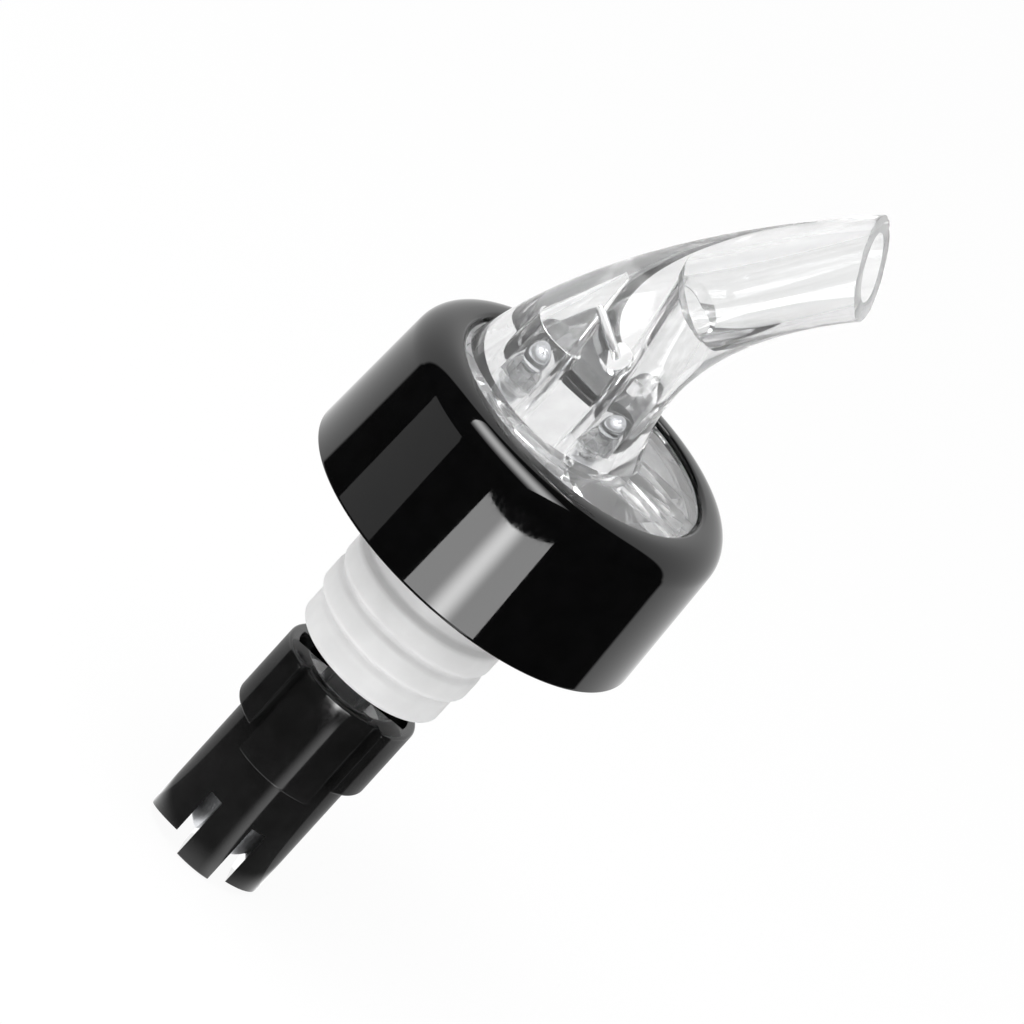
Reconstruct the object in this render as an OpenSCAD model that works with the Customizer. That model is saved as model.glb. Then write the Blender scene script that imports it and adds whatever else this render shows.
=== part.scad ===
// Measured bottle pourer: clear bent spout on a black collar, ribbed cork, timing cup and free balls.
// The origin is on the neck axis at the middle of the cork's sealing rib, +Z toward the spout, +X toward the mouth.

/* [Cork] */
// Radius of the sealing rib
cork_r = 9.75; // [9:0.05:11]
// Height of the straight land on the sealing rib
cork_land_h = 2.4; // [2:0.1:3.2]
// Distance from one rib to the next
cork_pitch = 3.85; // [3.6:0.05:4.6]
// How much smaller the middle rib is
cork_mid_drop = 0.1; // [0.05:0.05:0.8]
// How much smaller the lowest rib is
cork_low_drop = 0.8; // [0.6:0.05:1.6]
// Depth of the groove under a rib
cork_groove = 0.5; // [0.3:0.05:0.9]
// Radius of the cork's plain neck inside the collar
cork_neck_r = 8.9; // [8:0.1:9.2]
// Radius of the cork's top flange
cork_flange_r = 15.2; // [13.5:0.1:16]
// Thickness of the cork's top flange
cork_flange_t = 2; // [1.5:0.1:3]
// Height of the bottle lip seat above the sealing rib
lip_z = 17.3; // [15:0.1:19]

/* [Collar] */
// Thickness of the collar beside the clear rim
collar_side = 2.6; // [2.2:0.05:3.2]
// How much wider the open bottom is than the shoulder
collar_flare = 0.85; // [0.4:0.05:1.6]
// Height of the collar's bottom edge above the sealing rib
collar_z = 8; // [6:0.1:10]
// Radius of the rounded shoulder
collar_round = 3.6; // [2.5:0.1:4.4]
// Thickness of the skirt
collar_wall = 1.9; // [1.4:0.1:2.2]
// Thickness of the lip over the clear flange
collar_lip_t = 2.6; // [1.8:0.1:3.2]
// Height of the snap ridge inside the skirt
ridge_h = 1; // [0.6:0.1:1.4]
// How far the snap ridge reaches under the cage plate
ridge_reach = 0.5; // [0.3:0.05:0.8]

/* [Clear head] */
// Radius of the clear disc seen in the collar's opening
head_r = 15.5; // [14.5:0.1:16]
// Radius of the hidden rim under the collar's lip
head_rim_r = 17.4; // [17:0.1:17.6]
// Thickness of the hidden rim
head_rim_t = 2.7; // [2:0.1:3.5]
// Height of the visible disc above the hidden rim
head_step = 2.1; // [1.8:0.1:2.6]
// Rise of the sloped shelf round the spout's foot
shelf_rise = 0.7; // [0.4:0.1:1.6]
// Radius of the shelf's inner edge
shelf_r = 9; // [7:0.1:10]
// Outer radius of the pockets under the disc
cell_r = 14.2; // [13.4:0.1:14.6]
// Height of the pockets under the disc
cell_h = 1; // [0.6:0.1:3.6]
// Wall between the pockets and the plug
cell_wall = 1.1; // [0.8:0.05:1.4]
// Number of webs between the pockets
webs = 5; // [3:1:8]
// Thickness of a web
web_t = 1.5; // [1:0.1:2]

/* [Spout] */
// Offset of the spout's foot behind the axis
foot_x = 3.9; // [3.5:0.1:4]
// Radius of the spout's flared foot
foot_r = 11.4; // [10.6:0.1:11.5]
// Depth of the spout's foot in the disc
foot_sink = 0.3; // [0.2:0.1:0.6]
// Radius at the tip
tip_r = 5.4; // [4.8:0.05:5.8]
// Upright run of the spout over its foot
foot_run = 17.4; // [15:0.1:19]
// Backward lean of the spout over its foot
foot_lean = 1; // [0:0.1:2]
// Straight run of the spout behind its mouth
tip_run = 5.9; // [4:0.1:9]
// How quickly the spout narrows
taper_power = 3.35; // [2.6:0.05:3.8]
// Forward reach of the mouth's centre
mouth_x = 11; // [9:0.1:13]
// Height of the mouth's centre above the sealing rib
mouth_z = 61.2; // [57:0.1:65]
// Angle of the tip above the horizontal
tip_angle = 48; // [42:1:56]
// Angle between the mouth's face and a square cut
mouth_cut = 17.5; // [12:0.5:30]
// Radius of the pour bore
bore_r = 3.35; // [3:0.05:3.7]
// Radius of the upright pour core
core_r = 2.4; // [2.2:0.05:2.6]
// Offset of the pour core in front of the axis
core_x = 0.4; // [0:0.1:0.8]
// Height of the bend between the pour core and the pour bore
bend_z = 45.2; // [43:0.1:47]
// Length of the cone at the pour bore's inner end
bore_cone = 1; // [0.6:0.1:1.6]
// Radius of the side air hole
air_hole_r = 0.5; // [0.4:0.05:0.8]
// Radius of the shallow dish round the air hole
air_dish_r = 1.75; // [1.2:0.05:2]
// Distance from the air core to the dish's floor
air_dish_reach = 8.4; // [8.2:0.05:8.6]
// Height of the air hole above the sealing rib
air_hole_z = 37.4; // [36:0.1:38.4]
// Turn of the air hole toward the mouth
air_hole_turn = 30; // [20:1:36]
// Height of the straight part of the air core
air_straight = 6.4; // [6:0.1:7]
// Offset of the air core's closed end behind the axis
air_top_x = 5.7; // [5.2:0.1:6.2]
// Height of the air core's closed end above the sealing rib
air_top_z = 41.4; // [40.5:0.1:42.5]
// Radius of the air core's closed end
air_top_r = 0.4; // [0.2:0.05:0.8]
// Step between the air core's straight part and its cone
air_step = 0.1; // [0.05:0.05:0.3]
// Width of the rib that stops the pour ball
stop_w = 0.9; // [0.6:0.1:1.4]

/* [Ball cage] */
// Radius of the plug under the spout
plug_r = 8.6; // [8:0.1:9]
// Offset of the plug behind the axis
plug_x = 2.6; // [2:0.1:3]
// Height of the plug above its plate
plug_h = 4.3; // [3.8:0.1:5]
// Thickness of the cage plate
plate_t = 1.9; // [1.4:0.1:2.6]
// Height of the two ball seats above the plug
seat_h = 1.2; // [0.8:0.1:1.6]
// How much smaller a seat's bore is than its ball
seat_step = 0.5; // [0.3:0.05:0.7]
// Room beside the air ball in its core
air_room = 0.8; // [0.5:0.05:1]
// Wall round the ball seat bores
seat_wall = 0.9; // [0.6:0.05:1]
// Offset of the air seat behind the axis
air_x = 7; // [6.8:0.1:7.4]
// Radius of the small pour ball
pour_ball_r = 1.6; // [1.4:0.05:1.7]
// Radius of the small air ball
air_ball_r = 1.6; // [1.4:0.05:1.7]
// Lift of the pour ball
pour_ball_lift = 4; // [2:0.1:5]

/* [Stem] */
// Outer radius of the clear stem
stem_r = 3; // [2.6:0.05:3.2]
// Radius of the stem's bore
stem_bore_r = 2; // [1.5:0.05:2.2]
// Depth of the stem in the cage
stem_depth = 3; // [2:0.1:3.4]
// Radius of the stem's shoulder under the cork
shoulder_r = 4.2; // [3.8:0.1:4.8]
// Height of the stem's shoulder
shoulder_h = 1; // [0.6:0.1:1.2]
// Length of the stem under the shoulder
stem_tail = 7.5; // [6.5:0.1:8.5]
// Widening of the stem's end round the ball seat
stem_bead = 0.6; // [0.4:0.05:0.9]
// Height of the stem's bead
bead_h = 2; // [1.4:0.1:2.6]
// Widening of the bore at the timing ball's seat
seat_flare = 0.7; // [0.4:0.05:0.9]
// Height of the timing ball's seat
seat_cone_h = 0.8; // [0.5:0.05:1.2]
// Width of the two arms that carry the cup
arm_w = 3; // [2.4:0.1:3.6]
// Height of the arms
arm_h = 4.2; // [3:0.1:4.6]
// Height of the arms above the stem's end
arm_inset = 0.4; // [0.2:0.1:0.8]
// Drop of the arms' feet under the arms
arm_foot = 2.4; // [2:0.1:3]
// Thickness of the arms' feet
foot_t = 1.2; // [1:0.05:1.3]
// Outer radius of the air tube
tube_r = 1.3; // [1.1:0.05:1.5]
// Radius of the air tube's bore
tube_bore_r = 0.8; // [0.5:0.05:0.9]
// Offset of the air tube behind the axis
tube_x = 5.5; // [5.3:0.05:5.7]
// Reach of the air tube under the cork
tube_tail = 0.5; // [0.3:0.05:0.8]

/* [Timing cup] */
// Gap between the cork and the cup's rim
cup_gap = 2.6; // [1.8:0.1:3]
// Outer radius of the two wide lobes
lobe_r = 8.35; // [8.1:0.05:8.6]
// Half angle of a lobe
lobe_angle = 47; // [40:1:55]
// Turn of the arms and the cup against the bend plane
cup_turn = 8; // [0:1:20]
// Outer radius of the front and back panels
panel_r = 7.3; // [7.25:0.05:7.6]
// Half angle of a panel
panel_angle = 38; // [30:1:39]
// Outer radius of the slotted tube
tube_end_r = 7.1; // [6.8:0.05:7.2]
// Depth of the lobes under the rim
lobe_h = 8.9; // [8.4:0.1:10]
// Depth of the panels under the rim
panel_h = 12; // [11:0.1:13]
// Full height of the cup
cup_h = 25; // [23.5:0.1:26.5]
// Radius of the ball chamber
chamber_r = 5.55; // [5.4:0.05:5.7]
// Wall of the lobes
lobe_wall = 1.1; // [0.9:0.05:1.2]
// Height of the slots
slot_h = 7.7; // [6:0.1:9]
// Distance from the middle to a slot
slot_x = 2.07; // [1.8:0.01:2.3]
// Width of a slot
slot_w = 1.6; // [1.2:0.05:2]
// Rise of the left finger's end for each mm across
gable_left = 0.3; // [0.1:0.01:0.4]
// Rise of the right finger's end for each mm across
gable_right = 0.15; // [0.05:0.01:0.4]
// Radius of the hole under the ball
outlet_r = 3.5; // [3:0.05:3.8]
// Height of the funnel under the ball
funnel_h = 2.6; // [2:0.1:3]
// Thickness of the lip under the funnel
outlet_t = 2.2; // [1.8:0.1:3]
// Radius of the timing ball
ball_r = 4.5; // [4.2:0.05:4.8]

/* [Clearances] */
// Gap of a push fit, on the radius
fit = 0.03; // [0.01:0.01:0.06]
// Gap between the clear disc and the collar's opening
reveal = 0.25; // [0.15:0.05:0.4]
// Gap between a free ball and what it touches
ball_gap = 0.12; // [0.05:0.01:0.2]

/* [Hidden] */
$fn = 64;
eps = 0.05;
cut = 1;
steps = 24;
sides = 40;

// Heights of the stacked faces
plate_z = lip_z + cork_flange_t;
rim_z = plate_z + plate_t;
lip_under_z = rim_z + head_rim_t + fit;
collar_top_z = lip_under_z + collar_lip_t;
disc_z = rim_z + head_rim_t + head_step;
opening_r = head_r + reveal;
collar_shoulder_r = head_rim_r + collar_side;
collar_r = collar_shoulder_r + collar_flare;
skirt_r = collar_r - collar_wall;
pocket_r = head_rim_r + 2 * fit;
ridge_r = head_rim_r - ridge_reach;
ridge_z = plate_z - fit;

// Cork heights
mid_z = -cork_pitch;
low_z = -2 * cork_pitch;
cork_bottom_z = low_z - cork_land_h / 2 - cork_groove;

// Plug and ball seats
plug_z = rim_z + plug_h;
seat_z = plug_z + seat_h;
seat_bore = pour_ball_r - seat_step;
air_bore = air_ball_r - seat_step;
cavity_z = plug_z + fit;
pour_rest_z = seat_z + sqrt(pow(pour_ball_r, 2) - pow(seat_bore, 2)) + ball_gap;
stop_z = pour_rest_z + pour_ball_lift + pour_ball_r + ball_gap;

// Air core stands over the air seat and then leans forward to its closed end
air_core_r = air_ball_r + air_room;
air_rest_z = seat_z + sqrt(pow(air_ball_r, 2) - pow(air_bore, 2)) + ball_gap;
air_bend_z = cavity_z + air_straight;
air_cone_z = air_bend_z - air_core_r / 6;
air_lean = atan((air_x - air_top_x) / (air_top_z - air_cone_z));
air_len = norm([air_x - air_top_x, air_top_z - air_cone_z]);
air_mid_x = (air_hole_z - air_cone_z) * tan(air_lean) - air_x;

// Spout path in the XZ plane
tip_dir = [cos(tip_angle), sin(tip_angle)];
mouth = [mouth_x, mouth_z];
over = 4;
path_a = [-foot_x, disc_z - foot_sink];
path_d = mouth + over * tip_dir;
path_b = path_a + [-foot_lean, foot_run];
path_c = mouth - tip_run * tip_dir;
face_angle = tip_angle - mouth_cut;

// Straight pour bore from the bend to the mouth
bore_run = mouth - [core_x, bend_z];
bore_lean = atan2(bore_run[0], bore_run[1]);
core_top_z = bend_z + core_r * tan(bore_lean) + 4 * eps;

// Stem and cup heights
shoulder_z = cork_bottom_z - shoulder_h;
stem_end_z = shoulder_z - stem_tail;
cup_top_z = cork_bottom_z - cup_gap;
cup_end_z = cup_top_z - cup_h;
lobe_in_r = lobe_r - lobe_wall;
arm_r = lobe_in_r - fit;
arm_z = stem_end_z + arm_inset;
ledge_z = arm_z - arm_foot;
funnel_z = cup_end_z + outlet_t + funnel_h;
funnel_half = atan((chamber_r - outlet_r) / funnel_h);
apex_z = cup_end_z + outlet_t - outlet_r / tan(funnel_half);
ball_z = apex_z + ball_r / sin(funnel_half) + ball_gap;
seat_mouth_r = stem_bore_r + seat_flare;

function mix(a, b, c, d, t) =
    pow(1 - t, 3) * a + 3 * pow(1 - t, 2) * t * b + 3 * (1 - t) * pow(t, 2) * c + pow(t, 3) * d;

function path(t) = mix(path_a, path_b, path_c, path_d, t);

function heading(t) = let (v = path(t + 0.001) - path(t - 0.001)) v / norm(v);

function spout_r(t) = tip_r + (foot_r - tip_r) * pow(1 - t, taper_power);

function ring(t) =
    let (p = path(t), h = heading(t), r = spout_r(t))
    [for (j = [0 : sides - 1]) let (a = 360 * j / sides)
        [p[0] + r * cos(a) * h[1], r * sin(a), p[1] - r * cos(a) * h[0]]];

// Smooth outside of the bent spout
module spout_skin() {
    pts = [for (i = [0 : steps]) each ring(i / steps)];
    walls = [for (i = [0 : steps - 1], j = [0 : sides - 1])
        let (k = (j + 1) % sides)
        [i * sides + j, (i + 1) * sides + j, (i + 1) * sides + k, i * sides + k]];
    foot = [[for (j = [0 : sides - 1]) j]];
    tip = [[for (j = [0 : sides - 1]) steps * sides + sides - 1 - j]];
    polyhedron(points = pts, faces = concat(walls, foot, tip), convexity = 4);
}

// Oblique face at the mouth
module mouth_trim() {
    reach = mouth_z / 2;
    translate([mouth_x, 0, mouth_z])
        rotate([0, -face_angle, 0])
            translate([0, -reach / 2, -reach / 2])
                cube([reach, reach, reach]);
}

// Straight bore from the mouth down to its cone at the bend
module pour_bore() {
    far = norm(bore_run) + 2 * bore_r + over;
    translate([core_x, 0, bend_z])
        rotate([0, bore_lean, 0])
            rotate_extrude()
                polygon([[0, -bore_cone], [core_r, -bore_cone], [bore_r, 0], [bore_r, far], [0, far]]);
}

// Core that leads air to its seat, with the side hole
module air_core() {
    translate([-air_x, 0, cavity_z - eps])
        cylinder(r = air_core_r, h = air_straight + eps);
    translate([-air_x, 0, air_cone_z])
        rotate([0, air_lean, 0])
            cylinder(r1 = air_core_r - air_step, r2 = air_top_r, h = air_len);
    translate([air_mid_x, 0, air_hole_z])
        rotate([90, 0, air_hole_turn]) {
            cylinder(r = air_hole_r, h = 2 * foot_r);
            translate([0, 0, air_dish_reach])
                cylinder(r = air_dish_r, h = 2 * foot_r);
        }
}

// Ring of pockets under the disc, parted by webs
module cells() {
    tall = cell_h + 4 * cut;
    difference() {
        translate([0, 0, rim_z - cut])
            cylinder(r = cell_r, h = cell_h + cut);
        translate([-plug_x, 0, rim_z - 2 * cut])
            cylinder(r = plug_r + cell_wall, h = tall);
        for (i = [0 : webs - 1])
            rotate([0, 0, 360 * i / webs])
                translate([0, -web_t / 2, rim_z - 2 * cut])
                    cube([head_r, web_t, tall]);
    }
}

module spout() {
    color([0.92, 0.94, 0.95, 0.35])
    difference() {
        union() {
            difference() {
                union() {
                    spout_skin();
                    translate([0, 0, rim_z])
                        cylinder(r = head_rim_r, h = head_rim_t);
                    translate([0, 0, rim_z])
                        cylinder(r = head_r, h = head_rim_t + head_step);
                    translate([0, 0, disc_z])
                        cylinder(r1 = head_r, r2 = shelf_r, h = shelf_rise);
                }
                mouth_trim();
                cells();
                translate([-plug_x, 0, rim_z - cut])
                    cylinder(r = plug_r + fit, h = cavity_z - rim_z + cut);
                translate([core_x, 0, cavity_z - eps])
                    cylinder(r = core_r, h = core_top_z - cavity_z + eps);
                pour_bore();
            }
            translate([core_x - stop_w / 2, -core_r, stop_z])
                cube([stop_w, 2 * core_r, 2 * stop_w]);
        }
        air_core();
    }
}

// Plate and plug that close the spout's foot, with a seat for each small ball
module ball_cage() {
    deep = plate_z + stem_depth;
    step = stem_bore_r / 2;
    color([0.9, 0.92, 0.94, 0.35])
    difference() {
        union() {
            translate([0, 0, plate_z])
                cylinder(r = head_rim_r, h = plate_t);
            translate([-plug_x, 0, plate_z])
                cylinder(r = plug_r, h = plug_z - plate_z);
            translate([core_x, 0, plate_z])
                cylinder(r = seat_bore + seat_wall, h = seat_z - plate_z);
            translate([-air_x, 0, plate_z])
                cylinder(r = air_bore + seat_wall, h = seat_z - plate_z);
        }
        translate([0, 0, plate_z - cut])
            cylinder(r = stem_r + fit, h = stem_depth + cut);
        translate([0, 0, plate_z])
            cylinder(r = stem_bore_r, h = stem_depth + step);
        translate([core_x, 0, deep + eps])
            cylinder(r = seat_bore, h = seat_z);
        translate([-tube_x, 0, plate_z - cut])
            cylinder(r = tube_r + fit, h = stem_depth + cut);
        translate([-tube_x, 0, plate_z])
            cylinder(r = tube_bore_r, h = stem_depth + 2 * tube_bore_r);
        translate([-air_x, 0, deep + tube_bore_r])
            cylinder(r = air_bore, h = seat_z);
    }
}

// Small steel ball over the pour seat
module pour_ball() {
    color([0.75, 0.76, 0.78])
    translate([core_x, 0, pour_rest_z])
        sphere(r = pour_ball_r);
}

// Small steel ball over the air seat
module air_ball() {
    color([0.75, 0.76, 0.78])
    translate([-air_x, 0, air_rest_z])
        sphere(r = air_ball_r);
}

// Gloss black cap that snaps over the clear rim and hides the bottle's lip
module collar() {
    round_z = collar_top_z - collar_round;
    round_r = collar_shoulder_r - collar_round;
    color([0.03, 0.03, 0.03])
    difference() {
        rotate_extrude() {
            polygon([[0, collar_z], [collar_r, collar_z], [collar_shoulder_r, round_z], [0, round_z]]);
            polygon([[0, round_z], [round_r, round_z], [round_r, collar_top_z], [0, collar_top_z]]);
            translate([round_r, round_z])
                circle(r = collar_round);
        }
        translate([0, 0, collar_z - cut])
            cylinder(r = opening_r, h = collar_top_z);
        translate([0, 0, ridge_z])
            cylinder(r = pocket_r, h = lip_under_z - ridge_z);
        translate([0, 0, ridge_z - ridge_h])
            cylinder(r = ridge_r, h = ridge_h + eps);
        translate([0, 0, collar_z - eps])
            cylinder(r1 = skirt_r, r2 = ridge_r + ridge_reach, h = ridge_z - ridge_h - collar_z + eps);
    }
}

// One rib of the cork with rounded sides
module cork_rib(r, z) {
    half = cork_land_h / 2;
    side = cork_groove;
    drop = side * (1 - sin(45));
    rise = side * sin(45);
    rotate_extrude()
        polygon([[0, z - half - side], [r - side, z - half - side], [r - drop, z - half - rise],
                 [r, z - half], [r, z + half], [r - drop, z + half + rise],
                 [r - side, z + half + side], [0, z + half + side]]);
}

module cork() {
    color([0.9, 0.9, 0.9])
    difference() {
        union() {
            translate([0, 0, cork_bottom_z])
                cylinder(r = cork_r - cork_low_drop - cork_groove, h = cork_pitch);
            translate([0, 0, low_z])
                cylinder(r1 = cork_r - cork_low_drop - cork_groove, r2 = cork_neck_r, h = -low_z);
            cylinder(r = cork_neck_r, h = lip_z);
            cork_rib(cork_r, 0);
            cork_rib(cork_r - cork_mid_drop, mid_z);
            cork_rib(cork_r - cork_low_drop, low_z);
            translate([0, 0, lip_z])
                cylinder(r = cork_flange_r, h = cork_flange_t);
        }
        translate([0, 0, cork_bottom_z - cut])
            cylinder(r = stem_r + fit, h = plate_z - cork_bottom_z + 2 * cut);
        translate([-tube_x, 0, cork_bottom_z - cut])
            cylinder(r = tube_r + fit, h = plate_z - cork_bottom_z + 2 * cut);
    }
}

// Clear stem with the timing ball's seat and the two arms that carry the cup
module stem() {
    arm_top_z = arm_z + arm_h;
    color([0.88, 0.9, 0.92, 0.4])
    difference() {
        union() {
            translate([0, 0, stem_end_z])
                cylinder(r = stem_r, h = plate_z + stem_depth - stem_end_z);
            translate([0, 0, shoulder_z])
                cylinder(r = shoulder_r, h = shoulder_h);
            translate([0, 0, stem_end_z])
                cylinder(r = stem_r + stem_bead, h = bead_h);
            rotate([0, 0, cup_turn])
                intersection() {
                    union() {
                        translate([-lobe_r, -arm_w / 2, arm_z])
                            cube([2 * lobe_r, arm_w, arm_h]);
                        for (side = [-1, 1])
                            translate([side * (arm_r - foot_t / 2) - foot_t / 2, -arm_w / 2, ledge_z])
                                cube([foot_t, arm_w, arm_foot + eps]);
                    }
                    translate([0, 0, ledge_z])
                        cylinder(r = arm_r, h = arm_top_z - ledge_z);
                }
        }
        translate([0, 0, stem_end_z - cut])
            cylinder(r = stem_bore_r, h = plate_z - stem_end_z + stem_depth + 2 * cut);
        translate([0, 0, stem_end_z - eps])
            cylinder(r1 = seat_mouth_r, r2 = stem_bore_r, h = seat_cone_h);
    }
}

module air_tube() {
    color([0.8, 0.81, 0.82])
    translate([-tube_x, 0, cork_bottom_z - tube_tail])
        difference() {
            cylinder(r = tube_r, h = plate_z + stem_depth - cork_bottom_z + tube_tail);
            translate([0, 0, -cut])
                cylinder(r = tube_bore_r, h = plate_z + stem_depth - cork_bottom_z + tube_tail + 2 * cut);
        }
}

// Two opposite sectors along the X axis
module sectors(half, z, h) {
    reach = 2 * lobe_r;
    wide = reach * tan(half);
    near = chamber_r / 2;
    narrow = near * tan(half);
    for (turn = [0, 180])
        translate([0, 0, z])
            rotate([0, 0, turn])
                linear_extrude(height = h)
                    polygon([[near, -narrow], [reach, -wide], [reach, wide], [near, narrow]]);
}

// Sloped ends of the two side fingers
module finger_trim() {
    reach = 2 * lobe_r;
    inner = slot_x + slot_w - eps;
    for (end = [[-1, gable_left], [1, gable_right]])
        for (face = [-1, 1])
            translate([end[0] * (inner + reach / 2), 0, cup_end_z - eps])
                rotate([90, 0, 90])
                    linear_extrude(height = reach, center = true)
                        polygon([[0, 0], [face * reach, 0], [face * reach, end[1] * reach]]);
}

module timing_cup() {
    reach = 2 * lobe_r;
    color([0.03, 0.03, 0.03])
    rotate([0, 0, cup_turn])
    difference() {
        union() {
            translate([0, 0, cup_end_z])
                cylinder(r = tube_end_r, h = cup_h);
            intersection() {
                translate([0, 0, cup_top_z - panel_h])
                    cylinder(r = panel_r, h = panel_h);
                rotate([0, 0, 90])
                    sectors(panel_angle, cup_top_z - panel_h, panel_h);
            }
            intersection() {
                translate([0, 0, cup_top_z - lobe_h])
                    cylinder(r = lobe_r, h = lobe_h);
                sectors(lobe_angle, cup_top_z - lobe_h, lobe_h);
            }
        }
        translate([0, 0, funnel_z - eps])
            cylinder(r = chamber_r, h = cup_h);
        translate([0, 0, cup_end_z + outlet_t])
            cylinder(r1 = outlet_r, r2 = chamber_r, h = funnel_h);
        translate([0, 0, cup_end_z - cut])
            cylinder(r = outlet_r, h = outlet_t + 2 * cut);
        intersection() {
            translate([0, 0, ledge_z])
                cylinder(r = lobe_in_r, h = cup_h);
            translate([-reach / 2, -arm_w / 2 - fit, ledge_z])
                cube([reach, arm_w + 2 * fit, cup_h]);
        }
        for (side = [-1, 1])
            translate([side * (slot_x + slot_w / 2) - slot_w / 2, -reach / 2, cup_end_z - cut])
                cube([slot_w, reach, slot_h + cut]);
        finger_trim();
    }
}

// Large steel ball that closes the stem at the end of each measure
module timing_ball() {
    color([0.75, 0.76, 0.78])
    translate([0, 0, ball_z])
        sphere(r = ball_r);
}

spout();
ball_cage();
pour_ball();
air_ball();
collar();
cork();
stem();
air_tube();
timing_cup();
timing_ball();
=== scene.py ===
import math

import bmesh
import bpy
from mathutils import Matrix, Vector


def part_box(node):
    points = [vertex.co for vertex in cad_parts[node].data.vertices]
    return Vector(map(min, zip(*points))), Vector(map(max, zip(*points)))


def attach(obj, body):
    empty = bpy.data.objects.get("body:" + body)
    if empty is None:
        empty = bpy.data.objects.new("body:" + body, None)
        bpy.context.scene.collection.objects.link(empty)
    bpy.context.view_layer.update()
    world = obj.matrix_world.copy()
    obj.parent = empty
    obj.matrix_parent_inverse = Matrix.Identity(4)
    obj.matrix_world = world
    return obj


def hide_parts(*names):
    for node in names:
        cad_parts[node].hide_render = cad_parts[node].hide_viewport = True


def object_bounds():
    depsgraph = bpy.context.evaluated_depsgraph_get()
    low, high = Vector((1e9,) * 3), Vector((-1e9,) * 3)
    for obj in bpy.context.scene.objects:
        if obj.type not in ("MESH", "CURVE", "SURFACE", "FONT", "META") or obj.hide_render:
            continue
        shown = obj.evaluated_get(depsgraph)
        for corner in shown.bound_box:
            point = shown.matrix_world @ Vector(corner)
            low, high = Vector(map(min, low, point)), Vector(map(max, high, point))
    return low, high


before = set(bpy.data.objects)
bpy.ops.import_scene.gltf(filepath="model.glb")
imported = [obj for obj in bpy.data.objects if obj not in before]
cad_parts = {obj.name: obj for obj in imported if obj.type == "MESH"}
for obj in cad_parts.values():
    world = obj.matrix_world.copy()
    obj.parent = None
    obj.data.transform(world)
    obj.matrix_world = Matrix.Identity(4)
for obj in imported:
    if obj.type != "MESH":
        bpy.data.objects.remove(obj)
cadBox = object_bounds()
mm = 0.001
print("frame loaded:", ", ".join(sorted(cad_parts)))


# small helpers for working by hand
def dropSelection():
    if bpy.context.mode != "OBJECT":
        bpy.ops.object.mode_set(mode="OBJECT")
    bpy.ops.object.select_all(action="DESELECT")


def pick(piece):
    dropSelection()
    piece.select_set(True)
    bpy.context.view_layer.objects.active = piece


def settle(piece):
    pick(piece)
    bpy.ops.object.transform_apply(location=True, rotation=True, scale=True)
    return piece


def softCorners(corners, steps=6):
    # corners: (radius, height, fillet) in mm; a fillet of 0 stays sharp
    line = []
    for i, (r, z, fillet) in enumerate(corners):
        here = Vector((r, z))
        if not fillet:
            line.append((r, z))
            continue
        before = Vector(corners[i - 1][:2]) - here
        after = Vector(corners[(i + 1) % len(corners)][:2]) - here
        turn = before.angle(after)
        shareA = fillet / (fillet + corners[i - 1][2])  # a big fillet takes the larger share of a short side
        shareB = fillet / (fillet + corners[(i + 1) % len(corners)][2])
        reach = min(fillet / math.tan(turn / 2), before.length * 0.98 * shareA, after.length * 0.98 * shareB)
        size = reach * math.tan(turn / 2)
        mid = here + (before.normalized() + after.normalized()).normalized() * size / math.sin(turn / 2)
        first = here + before.normalized() * reach - mid
        last = here + after.normalized() * reach - mid
        sweep = first.angle_signed(last)
        for k in range(steps + 1):
            a = -sweep * k / steps
            line.append((mid.x + first.x * math.cos(a) - first.y * math.sin(a),
                         mid.y + first.x * math.sin(a) + first.y * math.cos(a)))
    return line


def turned(name, line, sides=128, at=(0, 0), ring=True):
    # a circle drawn up the section by extrude and scale, as on a lathe
    dropSelection()
    centre = Vector((at[0] * mm, at[1] * mm, 0))
    bpy.ops.mesh.primitive_circle_add(vertices=sides, radius=line[0][0] * mm,
                                      location=centre + Vector((0, 0, line[0][1] * mm)))
    piece = bpy.context.object
    piece.name = name
    settle(piece)
    bpy.ops.object.mode_set(mode="EDIT")
    bpy.ops.mesh.select_mode(type="EDGE")
    bpy.ops.mesh.select_all(action="SELECT")
    for (ra, za), (rb, zb) in zip(line, line[1:]):
        bpy.ops.mesh.extrude_edges_move(TRANSFORM_OT_translate={"value": (0, 0, (zb - za) * mm)})
        if abs(rb - ra) > 1e-6:
            k = rb / ra
            bpy.ops.transform.resize(value=(k, k, 1), center_override=centre + Vector((0, 0, zb * mm)))
    bpy.ops.mesh.select_all(action="DESELECT")
    bpy.ops.mesh.select_non_manifold(extend=False, use_wire=False, use_multi_face=False, use_non_contiguous=False)
    if ring:
        bpy.ops.mesh.bridge_edge_loops()
    else:
        bpy.ops.mesh.fill_holes(sides=0)
    bpy.ops.mesh.select_all(action="SELECT")
    bpy.ops.mesh.normals_make_consistent(inside=False)
    bpy.ops.object.mode_set(mode="OBJECT")
    return piece


def rod(name, r, foot, tip, sides=96, tipR=None):
    # straight round bar or cone between two points, in mm
    dropSelection()
    a, b = Vector(foot), Vector(tip)
    bpy.ops.mesh.primitive_cone_add(vertices=sides, radius1=r * mm, radius2=(r if tipR is None else tipR) * mm,
                                    depth=(b - a).length * mm, location=(a + b) / 2 * mm,
                                    rotation=(b - a).to_track_quat("Z", "Y").to_euler())
    bpy.context.object.name = name
    return settle(bpy.context.object)


def block(name, low, high):
    dropSelection()
    a, b = Vector(low), Vector(high)
    bpy.ops.mesh.primitive_cube_add(size=1, location=(a + b) / 2 * mm)
    piece = bpy.context.object
    piece.name = name
    piece.scale = (b - a) * mm
    return settle(piece)


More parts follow.
